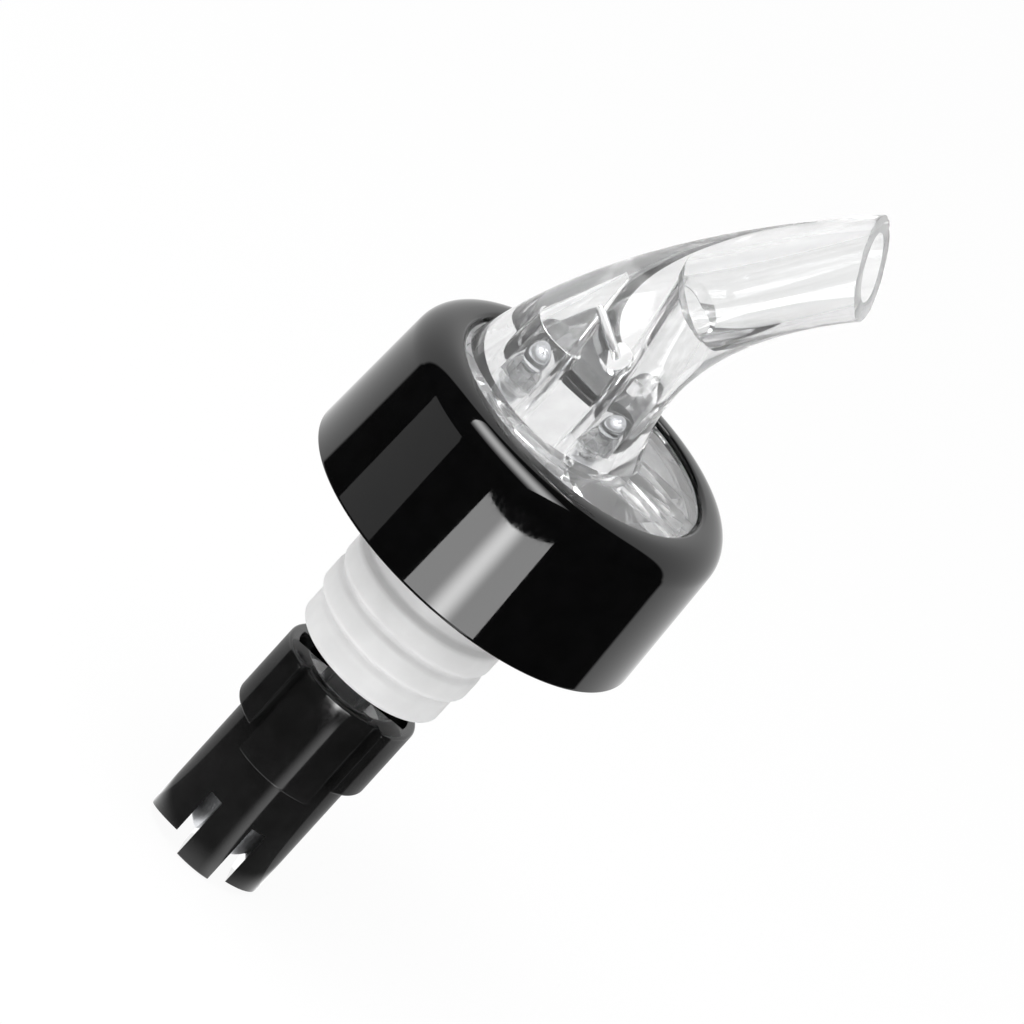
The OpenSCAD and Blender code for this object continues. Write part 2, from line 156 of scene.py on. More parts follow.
def carve(piece, tool, how="DIFFERENCE"):
    pick(piece)
    bpy.ops.object.modifier_add(type="BOOLEAN")
    cut = piece.modifiers[-1]
    cut.operation = how
    cut.solver = "EXACT"
    cut.object = tool
    bpy.ops.object.modifier_apply(modifier=cut.name)
    bpy.data.objects.remove(tool, do_unlink=True)
    return piece


def mergeClose(piece, gap=0.004):
    pick(piece)
    bpy.ops.object.mode_set(mode="EDIT")
    bpy.ops.mesh.select_all(action="SELECT")
    bpy.ops.mesh.remove_doubles(threshold=gap * mm)
    bpy.ops.mesh.dissolve_degenerate(threshold=gap * mm)
    bpy.ops.object.mode_set(mode="OBJECT")


def roundEdges(piece, width, wanted, segments=3):
    # bevels the edges whose two ends pass the test, chosen by place
    pick(piece)
    bpy.ops.object.mode_set(mode="EDIT")
    bpy.ops.mesh.select_mode(type="EDGE")
    bpy.ops.mesh.select_all(action="DESELECT")
    mesh = bmesh.from_edit_mesh(piece.data)
    for edge in mesh.edges:
        if len(edge.link_faces) == 2 and edge.calc_face_angle() > math.radians(25):
            if all(wanted(v.co / mm) for v in edge.verts):
                edge.select_set(True)
    bmesh.update_edit_mesh(piece.data)
    bpy.ops.mesh.bevel(offset=width * mm, segments=segments, affect="EDGES", clamp_overlap=True)
    bpy.ops.object.mode_set(mode="OBJECT")


def finishShade(piece, angle=32):
    pick(piece)
    bpy.ops.object.shade_smooth_by_angle(angle=math.radians(angle))


def place(piece, node, body, finish):
    piece.data.materials.clear()
    piece.data.materials.append(finish)
    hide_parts(node)
    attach(piece, body)
    print("made", piece.name, len(piece.data.polygons), "faces")


# finishes
def newFinish(name):
    finish = bpy.data.materials.new(name)
    finish.use_nodes = True
    nodes = finish.node_tree.nodes
    return finish, nodes, finish.node_tree.links, nodes["Principled BSDF"]


def noiseOn(nodes, links, scale, detail=3.0, stretch=(1, 1, 1), lean=0.0):
    coords = nodes.new("ShaderNodeTexCoord")
    fit = nodes.new("ShaderNodeMapping")
    fit.vector_type = "TEXTURE"  # turned first, stretched after
    fit.inputs["Scale"].default_value = [1 / k for k in stretch]
    fit.inputs["Rotation"].default_value = (0, math.radians(lean), 0)
    noise = nodes.new("ShaderNodeTexNoise")
    noise.inputs["Scale"].default_value = scale
    noise.inputs["Detail"].default_value = detail
    links.new(coords.outputs["Object"], fit.inputs["Vector"])
    links.new(fit.outputs["Vector"], noise.inputs["Vector"])
    return noise.outputs["Fac"]


def ramp(nodes, links, source, low, high, start=0.3, end=0.7):
    spread = nodes.new("ShaderNodeMapRange")
    spread.inputs["From Min"].default_value = start
    spread.inputs["From Max"].default_value = end
    spread.inputs["To Min"].default_value = low
    spread.inputs["To Max"].default_value = high
    links.new(source, spread.inputs["Value"])
    return spread.outputs["Result"]


def tint(nodes, links, source, low, high, start=0.3, end=0.7):
    colours = nodes.new("ShaderNodeValToRGB")
    colours.color_ramp.elements[0].position = start
    colours.color_ramp.elements[0].color = (*low, 1)
    colours.color_ramp.elements[1].position = end
    colours.color_ramp.elements[1].color = (*high, 1)
    links.new(source, colours.inputs["Fac"])
    return colours.outputs["Color"]


def bumpOn(nodes, links, shader, source, strength, depth):
    bump = nodes.new("ShaderNodeBump")
    bump.inputs["Strength"].default_value = strength
    bump.inputs["Distance"].default_value = depth
    links.new(source, bump.inputs["Height"])
    links.new(bump.outputs["Normal"], shader.inputs["Normal"])


def clearFinish(name, shade, waviness, clear, fog, lean=0.0, facets=None):
    finish, nodes, links, shader = newFinish(name)
    shader.inputs["Transmission Weight"].default_value = clear
    shader.inputs["IOR"].default_value = 1.49
    flow = noiseOn(nodes, links, 160, 2.0, (1, 1, 0.35))  # slow flow marks along the mould
    drawn = noiseOn(nodes, links, 1100, 2.0, (1, 1, 0.03), lean)  # long fine lines from the mould's core
    links.new(tint(nodes, links, drawn, [c * 0.92 for c in shade], shade, 0.36, 0.6), shader.inputs["Base Color"])
    haze = noiseOn(nodes, links, 900, 4.0)
    links.new(ramp(nodes, links, haze, fog[0], fog[1], 0.45, 0.75), shader.inputs["Roughness"])
    bumpOn(nodes, links, shader, flow, waviness, 0.0002)
    if facets:
        facetsOn(nodes, links, shader, facets)
    return finish


def facetsOn(nodes, links, shader, facets):
    # uneven moulded underside, kept to the faces below a height
    size, depth, low, high = facets
    coords = nodes.new("ShaderNodeTexCoord")
    cells = nodes.new("ShaderNodeTexVoronoi")
    cells.inputs["Scale"].default_value = size
    links.new(coords.outputs["Object"], cells.inputs["Vector"])
    parts = nodes.new("ShaderNodeSeparateXYZ")
    links.new(coords.outputs["Object"], parts.inputs["Vector"])
    below = ramp(nodes, links, parts.outputs["Z"], 1.0, 0.0, low * mm, high * mm)
    bump = nodes.new("ShaderNodeBump")
    bump.inputs["Distance"].default_value = depth * mm
    links.new(cells.outputs["Distance"], bump.inputs["Height"])
    links.new(below, bump.inputs["Strength"])
    wave = shader.inputs["Normal"].links[0].from_node
    links.new(bump.outputs["Normal"], wave.inputs["Normal"])


def blackFinish(name, base, gloss, grain):
    finish, nodes, links, shader = newFinish(name)
    shader.inputs["IOR"].default_value = 1.5
    mottle = noiseOn(nodes, links, 420, 4.0)
    links.new(tint(nodes, links, mottle, [c * 0.75 for c in base], [c * 1.25 for c in base]),
              shader.inputs["Base Color"])
    wipe = noiseOn(nodes, links, 2600, 5.0, (1, 1, 0.5))  # fine handling haze
    links.new(ramp(nodes, links, wipe, gloss[0], gloss[1], 0.4, 0.7), shader.inputs["Roughness"])
    bumpOn(nodes, links, shader, noiseOn(nodes, links, 260, 2.0), grain, 0.00012)
    return finish


def frostFinish(name, low, high):
    finish, nodes, links, shader = newFinish(name)
    shader.inputs["IOR"].default_value = 1.5
    shader.inputs["Subsurface Weight"].default_value = 0.6
    shader.inputs["Subsurface Radius"].default_value = (1.0, 1.0, 1.0)
    shader.inputs["Subsurface Scale"].default_value = 0.003
    cloud = noiseOn(nodes, links, 300, 4.0)
    links.new(tint(nodes, links, cloud, low, high), shader.inputs["Base Color"])
    grain = noiseOn(nodes, links, 3500, 3.0)
    links.new(ramp(nodes, links, grain, 0.44, 0.58), shader.inputs["Roughness"])
    shader.inputs["Specular IOR Level"].default_value = 0.4
    bumpOn(nodes, links, shader, grain, 0.06, 0.00008)
    return finish


def steelFinish(name, gloss):
    finish, nodes, links, shader = newFinish(name)
    shader.inputs["Metallic"].default_value = 1.0
    stain = noiseOn(nodes, links, 700, 3.0)
    links.new(tint(nodes, links, stain, (0.66, 0.67, 0.69), (0.78, 0.79, 0.81)), shader.inputs["Base Color"])
    scuff = noiseOn(nodes, links, 5200, 5.0, (1, 0.2, 1))
    links.new(ramp(nodes, links, scuff, gloss[0], gloss[1], 0.4, 0.7), shader.inputs["Roughness"])
    bumpOn(nodes, links, shader, scuff, 0.04, 0.00005)
    return finish


clearSpout = clearFinish("clear_moulding", (0.955, 0.957, 0.958), 0.05, 0.945, (0.004, 0.03), 33.5, (140, 1.9, 22.4, 22.6))
clearInner = clearFinish("clear_inner", (0.95, 0.955, 0.96), 0.06, 0.92, (0.03, 0.08))
collarBlack = blackFinish("collar_black", (0.0018, 0.0018, 0.0019), (0.025, 0.06), 0.03)
cupBlack = blackFinish("cup_black", (0.0085, 0.0085, 0.0085), (0.07, 0.12), 0.05)
frosted = frostFinish("frosted_cork", (0.81, 0.81, 0.81), (0.875, 0.875, 0.875))
milky = frostFinish("milky_tube", (0.72, 0.73, 0.74), (0.8, 0.81, 0.82))
ballSteel = steelFinish("ball_steel", (0.06, 0.16))
ballWorn = steelFinish("ball_worn", (0.42, 0.58))  # dulled by knocking in its cup
print("finishes ready")


# clear spout with its disc
spoutSet = {
    "start": (-3.9, 25.7), "rise": (-1.0, 17.4), "mouth": (11.0, 61.2), "angle": 48.0, "tipRun": 5.9, "over": 4.0,
    "footR": 11.4, "tipR": 5.4, "taper": 3.35, "sides": 96, "steps": 72, "faceTilt": 30.5,
    "disc": [(17.4, 21.2, 0.2), (17.4, 23.9, 0.3), (15.5, 23.9, 0.0), (15.5, 26.0, 0.25), (9.0, 26.7, 0.0)],
    "plugR": 8.63, "plugX": -2.6, "cavity": (20.0, 25.53), "coreX": 0.4, "coreR": 2.4, "coreTop": 46.99,
    "bend": 45.2, "boreR": 3.35, "airX": -7.0, "airR": (2.4, 2.3, 0.4), "airBend": 31.93, "airCone": 31.53,
    "airTop": (-5.7, 41.4), "hole": (-6.23, 37.4, 0.5, 30.0), "dish": (1.75, 8.4), "stop": (0.9, 33.7),
    "boreCone": 1.0, "rimRound": 0.45,
    "pocket": (14.2, 9.7, 22.2, 1.5), "webs": (0, 72, 144, 216, 288),
}


def makeSpout(s):
    tipDir = Vector((math.cos(math.radians(s["angle"])), math.sin(math.radians(s["angle"]))))
    a = Vector(s["start"])
    b = a + Vector(s["rise"])
    d = Vector(s["mouth"]) + s["over"] * tipDir
    c = Vector(s["mouth"]) - s["tipRun"] * tipDir

    def along(t):
        return a * (1 - t) ** 3 + b * 3 * (1 - t) ** 2 * t + c * 3 * (1 - t) * t * t + d * t ** 3

    def lean(t):
        way = along(min(t + 0.001, 1)) - along(max(t - 0.001, 0))
        return math.atan2(way.x, way.y)

    def radius(t):
        return s["tipR"] + (s["footR"] - s["tipR"]) * (1 - t) ** s["taper"]

    dropSelection()
    bpy.ops.mesh.primitive_circle_add(vertices=s["sides"], radius=radius(0) * mm, location=(a.x * mm, 0, a.y * mm),
                                      rotation=(0, lean(0), 0))
    spout = settle(bpy.context.object)
    spout.name = "spoutClear"
    bpy.ops.object.mode_set(mode="EDIT")
    bpy.ops.mesh.select_mode(type="EDGE")
    bpy.ops.mesh.select_all(action="SELECT")
    for i in range(s["steps"]):
        t0, t1 = i / s["steps"], (i + 1) / s["steps"]
        p, q = along(t0), along(t1)
        hub = (q.x * mm, 0, q.y * mm)
        bpy.ops.mesh.extrude_edges_move(TRANSFORM_OT_translate={"value": ((q.x - p.x) * mm, 0, (q.y - p.y) * mm)})
        bpy.ops.transform.rotate(value=-(lean(t1) - lean(t0)), orient_axis="Y", center_override=hub)
        k = radius(t1) / radius(t0)
        bpy.ops.transform.resize(value=(k, k, k), center_override=hub)
    bpy.ops.mesh.select_all(action="DESELECT")
    bpy.ops.mesh.select_non_manifold(extend=False, use_wire=False, use_multi_face=False, use_non_contiguous=False)
    bpy.ops.mesh.fill_holes(sides=0)
    bpy.ops.mesh.select_all(action="SELECT")
    bpy.ops.mesh.normals_make_consistent(inside=False)
    # oblique mouth
    tilt = math.radians(s["faceTilt"])
    bpy.ops.mesh.bisect(plane_co=(s["mouth"][0] * mm, 0, s["mouth"][1] * mm),
                        plane_no=(math.cos(tilt), 0, math.sin(tilt)), use_fill=True, clear_outer=True)
    bpy.ops.object.mode_set(mode="OBJECT")
    bottom = [(0.5, s["disc"][0][1], 0.0)]
    top = [(0.5, s["disc"][-1][1], 0.0)]
    disc = turned("disc", softCorners(bottom + s["disc"] + top), sides=160, ring=False)
    carve(spout, disc, "UNION")
    x = s["coreX"]
    pocketR, wallR, pocketTop, webW = s["pocket"]
    room = rod("pockets", pocketR, (0, 0, s["disc"][0][1] - 1), (0, 0, pocketTop), 160)
    carve(room, rod("plugWall", wallR, (s["plugX"], 0, 10), (s["plugX"], 0, 40), 128))
    for turn in s["webs"]:
        web = block("web", (4, -webW / 2, 10), (24, webW / 2, 40))
        web.rotation_euler.z = math.radians(turn)
        carve(room, settle(web))
    carve(spout, room)
    carve(spout, rod("plugRoom", s["plugR"], (s["plugX"], 0, s["cavity"][0]), (s["plugX"], 0, s["cavity"][1]), 128))
    core = rod("core", s["coreR"], (x, 0, s["cavity"][1] - 0.1), (x, 0, s["coreTop"]))
    run = Vector((s["mouth"][0] - x, 0, s["mouth"][1] - s["bend"]))
    bore = turned("bore", [(s["coreR"], -s["boreCone"]), (s["boreR"], 0), (s["boreR"], run.length * 1.6)], 96, ring=False)
    bore.location = (x * mm, 0, s["bend"] * mm)
    bore.rotation_euler.y = math.atan2(run.x, run.z)
    carve(core, settle(bore), "UNION")
    carve(spout, core)
    wide, high = s["stop"]
    carve(spout, block("stop", (x - wide / 2, -s["coreR"], high), (x + wide / 2, s["coreR"], high + 2 * wide)), "UNION")
    straightR, coneR, endR = s["airR"]
    air = rod("airCore", straightR, (s["airX"], 0, s["cavity"][1] - 0.05), (s["airX"], 0, s["airBend"]), 64)
    carve(air, rod("airCone", coneR, (s["airX"], 0, s["airCone"]), (s["airTop"][0], 0, s["airTop"][1]), 64, endR), "UNION")
    hx, hz, hr, turn = s["hole"]
    out = Vector((math.sin(math.radians(turn)), -math.cos(math.radians(turn)), 0))
    carve(air, rod("airHole", hr, (hx, 0, hz), Vector((hx, 0, hz)) + out * 22, 32), "UNION")
    carve(spout, air)
    dishR, dishReach = s["dish"]
    carve(spout, rod("airDish", dishR, Vector((hx, 0, hz)) + out * dishReach, Vector((hx, 0, hz)) + out * 22, 64))
    mergeClose(spout)
    way = Vector((math.cos(tilt), 0, math.sin(tilt)))
    middle = Vector((s["mouth"][0], 0, s["mouth"][1]))
    roundEdges(spout, s["rimRound"], lambda v: abs((v - middle).dot(way)) < 0.02)
    finishShade(spout)
    return spout


spout = makeSpout(spoutSet)
place(spout, "spout", "pourer", clearSpout)


# clear plug with the two small ball seats
cageSet = {"plate": (17.4, 19.3, 21.14), "plug": (8.6, -2.6, 25.5), "seats": (2.0, 1.1, 26.7), "seatX": (0.4, -7.0),
           "seatLow": (22.35, 23.1), "stemHole": (3.03, 22.3), "passage": (2.0, 23.3), "tubeHole": (1.33, -5.5, 22.3),
           "tubeWay": (0.8, 23.9)}


def makeCage(s):
    r, low, high = s["plate"]
    plugR, plugX, plugTop = s["plug"]
    cage = turned("ballCageClear", softCorners([(0.5, low, 0), (r, low, 0.2), (r, high, 0.2), (0.5, high, 0)]), 128,
                  ring=False)
    plug = turned("plug", softCorners([(0.5, low + 0.3, 0), (plugR, low + 0.3, 0), (plugR, plugTop, 0.5),
                                       (0.5, plugTop, 0)]), 128, at=(plugX, 0), ring=False)
    carve(cage, plug, "UNION")
    outer, inner, seatTop = s["seats"]
    for seatX in s["seatX"]:
        carve(cage, rod("seat", outer, (seatX, 0, low + 0.5), (seatX, 0, seatTop)), "UNION")
    carve(cage, rod("stemHole", s["stemHole"][0], (0, 0, low - 1), (0, 0, s["stemHole"][1])))
    carve(cage, rod("passage", s["passage"][0], (0, 0, low), (0, 0, s["passage"][1])))
    carve(cage, rod("tubeHole", s["tubeHole"][0], (s["tubeHole"][1], 0, low - 1), (s["tubeHole"][1], 0, s["tubeHole"][2])))
    carve(cage, rod("tubeWay", s["tubeWay"][0], (s["tubeHole"][1], 0, low), (s["tubeHole"][1], 0, s["tubeWay"][1])))
    for seatX, seatLow in zip(s["seatX"], s["seatLow"]):
        carve(cage, rod("seatBore", inner, (seatX, 0, seatLow), (seatX, 0, seatTop + 1)))
    mergeClose(cage)
    finishShade(cage)
    return cage


cage = makeCage(cageSet)
place(cage, "ball_cage", "pourer", clearInner)


# free steel balls
def makeBall(name, r, at):
    dropSelection()
    bpy.ops.mesh.primitive_cube_add(size=1.2 * r * mm, location=Vector(at) * mm)
    ball = bpy.context.object
    ball.name = name
    settle(ball)
    bpy.ops.object.modifier_add(type="SUBSURF")
    ball.modifiers[-1].levels = ball.modifiers[-1].render_levels = 5
    bpy.ops.object.modifier_apply(modifier=ball.modifiers[-1].name)
    bpy.ops.object.modifier_add(type="CAST")
    cast = ball.modifiers[-1]
    bpy.ops.object.empty_add(location=Vector(at) * mm)
    hub = bpy.context.object
    cast.object = hub
    cast.factor = 1.0
    cast.use_radius_as_size = False
    cast.size = r * mm
    pick(ball)
    bpy.ops.object.modifier_apply(modifier=cast.name)
    bpy.data.objects.remove(hub, do_unlink=True)
    finishShade(ball, 60)
    return ball


def middleOf(node):
    low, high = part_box(node)
    return (low + high) / 2 / mm


place(makeBall("pourBall", 1.6, middleOf("pour_ball")), "pour_ball", "pour_check", ballSteel)
place(makeBall("airBall", 1.6, middleOf("air_ball")), "air_ball", "air_check", ballSteel)
place(makeBall("timingBall", 4.5, middleOf("timing_ball")), "timing_ball", "metering_ball", ballWorn)


# gloss black collar
collarSet = {"section": [(20.85, 8.0, 0.45), (20.0, 26.53, 3.6), (15.75, 26.53, 0.45), (15.75, 23.93, 0.1),
                         (17.46, 23.93, 0.1), (17.46, 19.27, 0.1), (16.9, 19.27, 0.15), (16.9, 18.27, 0.15),
                         (17.4, 18.2, 0.1), (18.95, 8.0, 0.35)], "sides": 192}


def makeCollar(s):
    collar = turned("collarBlack", softCorners(s["section"], 10), s["sides"])
    finishShade(collar, 40)
    return collar


place(makeCollar(collarSet), "collar", "pourer", collarBlack)


# frosted cork
corkSet = {"ribs": [(9.75, 0.0), (9.65, -3.85), (8.95, -7.7)], "land": 1.2, "side": 0.5, "neck": 8.9,
           "flange": (15.2, 17.3, 19.3), "bottom": -9.4, "hole": 3.03, "tube": (1.33, -5.5), "sides": 160}


def makeCork(s):
    flangeR, under, over = s["flange"]
    section = [(s["hole"], over, 0), (flangeR, over, 0.3), (flangeR, under, 0.3), (s["neck"], under, 0.6)]
    for i, (r, z) in enumerate(s["ribs"]):
        root = s["neck"] if i == 0 else r - s["side"] - 0.12
        section += [(root, z + s["land"] + s["side"] + 0.25, 0.5), (r, z + s["land"] + 0.1, 0.7),
                    (r, z - s["land"] - 0.1, 0.7)]
    section += [(s["ribs"][-1][0] - 0.6, s["bottom"], 0.3), (s["hole"], s["bottom"], 0.2)]
    cork = turned("corkFrosted", softCorners(section), s["sides"])
    tubeR, tubeX = s["tube"]
    carve(cork, rod("tubeBore", tubeR, (tubeX, 0, s["bottom"] - 1), (tubeX, 0, over + 1), 48))
    mergeClose(cork)
    finishShade(cork, 40)
    return cork


place(makeCork(corkSet), "cork", "pourer", frosted)


# clear stem and its arms
stemSet = {"r": 3.0, "bore": 2.0, "top": 22.3, "shoulder": (4.2, -10.4, -9.4), "end": -17.9, "bead": (3.6, 2.0),
           "arm": (7.22, 1.5, -17.5, -13.3), "foot": (1.2, -19.9), "seat": (2.7, 0.8), "turn": 8.0}


def makeStem(s):
    shoulderR, low, high = s["shoulder"]
    beadR, beadH = s["bead"]
    seatR, seatH = s["seat"]
    stem = turned("stemClear", softCorners([
        (s["bore"], s["top"], 0.15), (s["r"], s["top"], 0.2), (s["r"], high, 0.1), (shoulderR, high, 0.1),
        (shoulderR, low, 0.25), (s["r"], low, 0.25), (s["r"], s["end"] + beadH, 0.2), (beadR, s["end"] + beadH, 0.3),
        (beadR, s["end"], 0.3), (seatR, s["end"], 0.1), (s["bore"], s["end"] + seatH, 0.1)]), 96)
    armR, half, armLow, armTop = s["arm"]
    footT, footLow = s["foot"]
    for side in (-1, 1):
        arm = block("arm", (2.5, -half, armLow), (9, half, armTop))
        carve(arm, block("armFoot", (armR - footT, -half, footLow), (9, half, armLow + 0.5)), "UNION")
        carve(arm, rod("armRound", armR, (0, 0, footLow - 1), (0, 0, armTop + 1), 128), "INTERSECT")
        roundEdges(arm, 0.25, lambda v: v.x > 3.5, 2)
        arm.rotation_euler.z = math.radians(s["turn"] if side > 0 else s["turn"] + 180)
        carve(stem, settle(arm), "UNION")
    mergeClose(stem)
    finishShade(stem)
    return stem


place(makeStem(stemSet), "stem", "pourer", clearInner)


# thin air tube
tubeSet = {"r": 1.3, "bore": 0.8, "x": -5.5, "low": -9.9, "top": 22.3}


def makeTube(s):
    tube = turned("airTube", softCorners([(s["bore"], s["low"], 0.1), (s["r"], s["low"], 0.15), (s["r"], s["top"], 0.15),
                                          (s["bore"], s["top"], 0.1)], 3), 48, at=(s["x"], 0))
    finishShade(tube)
    return tube


place(makeTube(tubeSet), "air_tube", "pourer", milky)


# gloss black timing cup
cupSet = {"top": -12.0, "end": -37.0, "panel": (7.3, -24.0, 38.0), "tube": 7.1, "lobe": (8.35, -20.9, 47.0),
          "chamber": 5.55, "funnel": (-32.2, -34.8, 3.5), "armRoom": (7.25, 1.53, -19.9), "slot": (2.07, 3.67, -29.3),
          "gable": {-1: 0.3, 1: 0.15}, "turn": 8.0}


def makeCup(s):
    top, end = s["top"], s["end"]
    funnelTop, funnelLow, outlet = s["funnel"]
    cup = turned("timingCupBlack", softCorners([
        (s["chamber"], top, 0.3), (s["tube"], top, 0.3), (s["tube"], end, 0.3), (outlet, end, 0.2), (outlet, funnelLow, 0.1), (s["chamber"], funnelTop, 0.3)]), 160)
    inner = s["chamber"] + 0.8
    for turn, (lobeR, lobeLow, half) in ((90, s["panel"]), (270, s["panel"]), (0, s["lobe"]), (180, s["lobe"])):
        lobe = turned("lobe", softCorners([(inner, top, 0), (lobeR, top, 0.35), (lobeR, lobeLow, 0.45),
                                           (inner, lobeLow, 0)]), 160)
        dropSelection()
        far = 14.0
        bpy.ops.mesh.primitive_cube_add(size=1, location=(far / 2 * mm, 0, (top + lobeLow) / 2 * mm))
        wedge = bpy.context.object
        wedge.scale = (far * mm, 2 * far * math.tan(math.radians(half)) * mm, 20 * mm)
        settle(wedge)
        bpy.ops.object.mode_set(mode="EDIT")
        bpy.ops.mesh.select_mode(type="VERT")
        bpy.ops.mesh.select_all(action="DESELECT")
        mesh = bmesh.from_edit_mesh(wedge.data)
        for v in mesh.verts:
            v.select_set(v.co.x < far / 2 * mm)
        bmesh.update_edit_mesh(wedge.data)
        bpy.ops.transform.resize(value=(1, 0.02, 1), center_override=(0, 0, 0))
        bpy.ops.object.mode_set(mode="OBJECT")
        carve(lobe, wedge, "INTERSECT")
        mergeClose(lobe)
        sharp = math.radians(half)
        roundEdges(lobe, min(0.35, lobeR - s["tube"]),
                   lambda v: abs(abs(math.atan2(v.y, v.x)) - sharp) < 0.02 and math.hypot(v.x, v.y) > lobeR - 0.55)
        lobe.rotation_euler.z = math.radians(turn)
        settle(lobe)
        carve(cup, lobe, "UNION")
    roomR, roomHalf, ledge = s["armRoom"]
    room = rod("armRoom", roomR, (0, 0, ledge), (0, 0, top + 1), 160)
    carve(room, block("armWide", (-9, -roomHalf, ledge - 1), (9, roomHalf, top + 2)), "INTERSECT")
    carve(cup, room)
    near, far, slotTop = s["slot"]
    for side in (-1, 1):
        xs = sorted((side * near, side * far))
        carve(cup, block("slot", (xs[0], -10, end - 1), (xs[1], 10, slotTop)))
    for side in (-1, 1):
        xs = sorted((side * (far - 0.05), side * 10))
        for face in (-1, 1):
            trim = block("gableTrim", (xs[0], -0.5, -6), (xs[1], 12, 0))
            lean = math.atan(s["gable"][side])
            trim.rotation_euler.x = lean if face > 0 else math.pi - lean
            if face < 0:
                trim.scale.z = -1
            trim.location.z = end * mm
            settle(trim)
            pick(trim)
            bpy.ops.object.mode_set(mode="EDIT")
            bpy.ops.mesh.select_all(action="SELECT")
            bpy.ops.mesh.normals_make_consistent(inside=False)
            bpy.ops.object.mode_set(mode="OBJECT")
            carve(cup, trim)
    mergeClose(cup)
    cup.rotation_euler.z = math.radians(s["turn"])
    settle(cup)
    finishShade(cup)
    return cup


place(makeCup(cupSet), "timing_cup", "pourer", cupBlack)


# camera, as the photograph looks at the object
viewSet = {"azimuth": -3.5, "elevation": 21.9, "roll": 42.23, "aim": (0.41, 0, 13.9), "distance": 4000.0, "across": 106.15}
side = Vector((math.cos(math.radians(viewSet["azimuth"])), -math.sin(math.radians(viewSet["azimuth"])), 0))
away = Vector((math.sin(math.radians(viewSet["azimuth"])), math.cos(math.radians(viewSet["azimuth"])), 0))
tiltE = math.radians(viewSet["elevation"])
rise = Vector((0, 0, math.cos(tiltE))) + away * math.sin(tiltE)
look = away * math.cos(tiltE) - Vector((0, 0, math.sin(tiltE)))
rollA = math.radians(viewSet["roll"])
camRight = rise * math.sin(rollA) + side * math.cos(rollA)
camUp = rise * math.cos(rollA) - side * math.sin(rollA)
cam = bpy.data.cameras.new("viewCamera")
camera = bpy.data.objects.new("viewCamera", cam)
bpy.context.scene.collection.objects.link(camera)
camera.matrix_world = Matrix.Translation((Vector(viewSet["aim"]) - look * viewSet["distance"]) * mm) @ Matrix(
    (camRight, camUp, -look)).transposed().to_4x4()
cam.sensor_width = 36
cam.lens = 36 * viewSet["distance"] / viewSet["across"]
cam.clip_start = 0.01
bpy.context.scene.camera = camera
print("camera set")


# studio
def fromObject(azimuth, elevation, distance, about=(0, 0, 15)):
    # azimuth runs to the right from the camera's side
    a, e = math.radians(azimuth), math.radians(elevation)
    way = (-away * math.cos(a) + side * math.sin(a)) * math.cos(e) + Vector((0, 0, math.sin(e)))
    return Vector(about) * mm + way * distance * mm


def softbox(name, azimuth, elevation, distance, wide, high, level, about=(0, 0, 15), onMatte=False):
    lamp = bpy.data.lights.new(name, "AREA")
    lamp.shape = "RECTANGLE"
    lamp.size, lamp.size_y = wide * mm, high * mm
    lamp.energy = level * math.pi * wide * high * mm * mm
    holder = bpy.data.objects.new(name, lamp)
    bpy.context.scene.collection.objects.link(holder)
    holder.location = fromObject(azimuth, elevation, distance, about)
    holder.rotation_euler = (holder.location - Vector(about) * mm).to_track_quat("Z", "Y").to_euler()
    holder.visible_camera = False
    holder.visible_diffuse = onMatte
    return holder


def brightMiddle(holder, middle, half, edge, way="X"):
    # a lamp whose face is brighter toward its middle, as a softbox is
    holder.data.use_nodes = True
    nodes, links = holder.data.node_tree.nodes, holder.data.node_tree.links
    face = nodes.new("ShaderNodeNewGeometry")
    parts = nodes.new("ShaderNodeSeparateXYZ")
    links.new(face.outputs["Parametric"], parts.inputs["Vector"])
    across = nodes.new("ShaderNodeMath")
    across.operation = "SUBTRACT"
    across.inputs[1].default_value = middle
    links.new(parts.outputs[way], across.inputs[0])
    apart = nodes.new("ShaderNodeMath")
    apart.operation = "ABSOLUTE"
    links.new(across.outputs["Value"], apart.inputs[0])
    fall = nodes.new("ShaderNodeMapRange")
    fall.interpolation_type = "SMOOTHSTEP"
    fall.inputs["From Min"].default_value = 0.0
    fall.inputs["From Max"].default_value = half
    fall.inputs["To Min"].default_value = 1.0
    fall.inputs["To Max"].default_value = edge
    links.new(apart.outputs["Value"], fall.inputs["Value"])
    links.new(fall.outputs["Result"], nodes["Emission"].inputs["Strength"])


brightMiddle(softbox("frontBox", 8, -18.5, 100, 80, 38, 15.0), 0.5, 0.2, 0.36)
softbox("leftBox", -60, -12, 110, 60, 60, 0.6)
brightMiddle(softbox("topBox", -30, 66, 260, 220, 190, 9.0, onMatte=True), 0.5, 0.5, 0.1, "Y")

world = bpy.data.worlds.new("studio")
bpy.context.scene.world = world
world.use_nodes = True
world.cycles.sampling_method = "NONE"
wNodes, wLinks = world.node_tree.nodes, world.node_tree.links
backdrop = wNodes["Background"]
coords = wNodes.new("ShaderNodeTexCoord")
facing = wNodes.new("ShaderNodeVectorMath")
facing.operation = "DOT_PRODUCT"
facing.inputs[1].default_value = away
wLinks.new(coords.outputs["Generated"], facing.inputs[0])
wallEdge = wNodes.new("ShaderNodeMapRange")
wallEdge.inputs["From Min"].default_value = 0.27
wallEdge.inputs["From Max"].default_value = 0.31
wLinks.new(facing.outputs["Value"], wallEdge.inputs["Value"])
rays = wNodes.new("ShaderNodeLightPath")
softSide = wNodes.new("ShaderNodeMix")  # what faces the camera's side is a dark room, brighter for soft light
softSide.data_type = "FLOAT"
softSide.inputs["A"].default_value = 0.012
softSide.inputs["B"].default_value = 0.76
wLinks.new(rays.outputs["Is Diffuse Ray"], softSide.inputs["Factor"])
height = wNodes.new("ShaderNodeSeparateXYZ")
wLinks.new(coords.outputs["Generated"], height.inputs["Vector"])
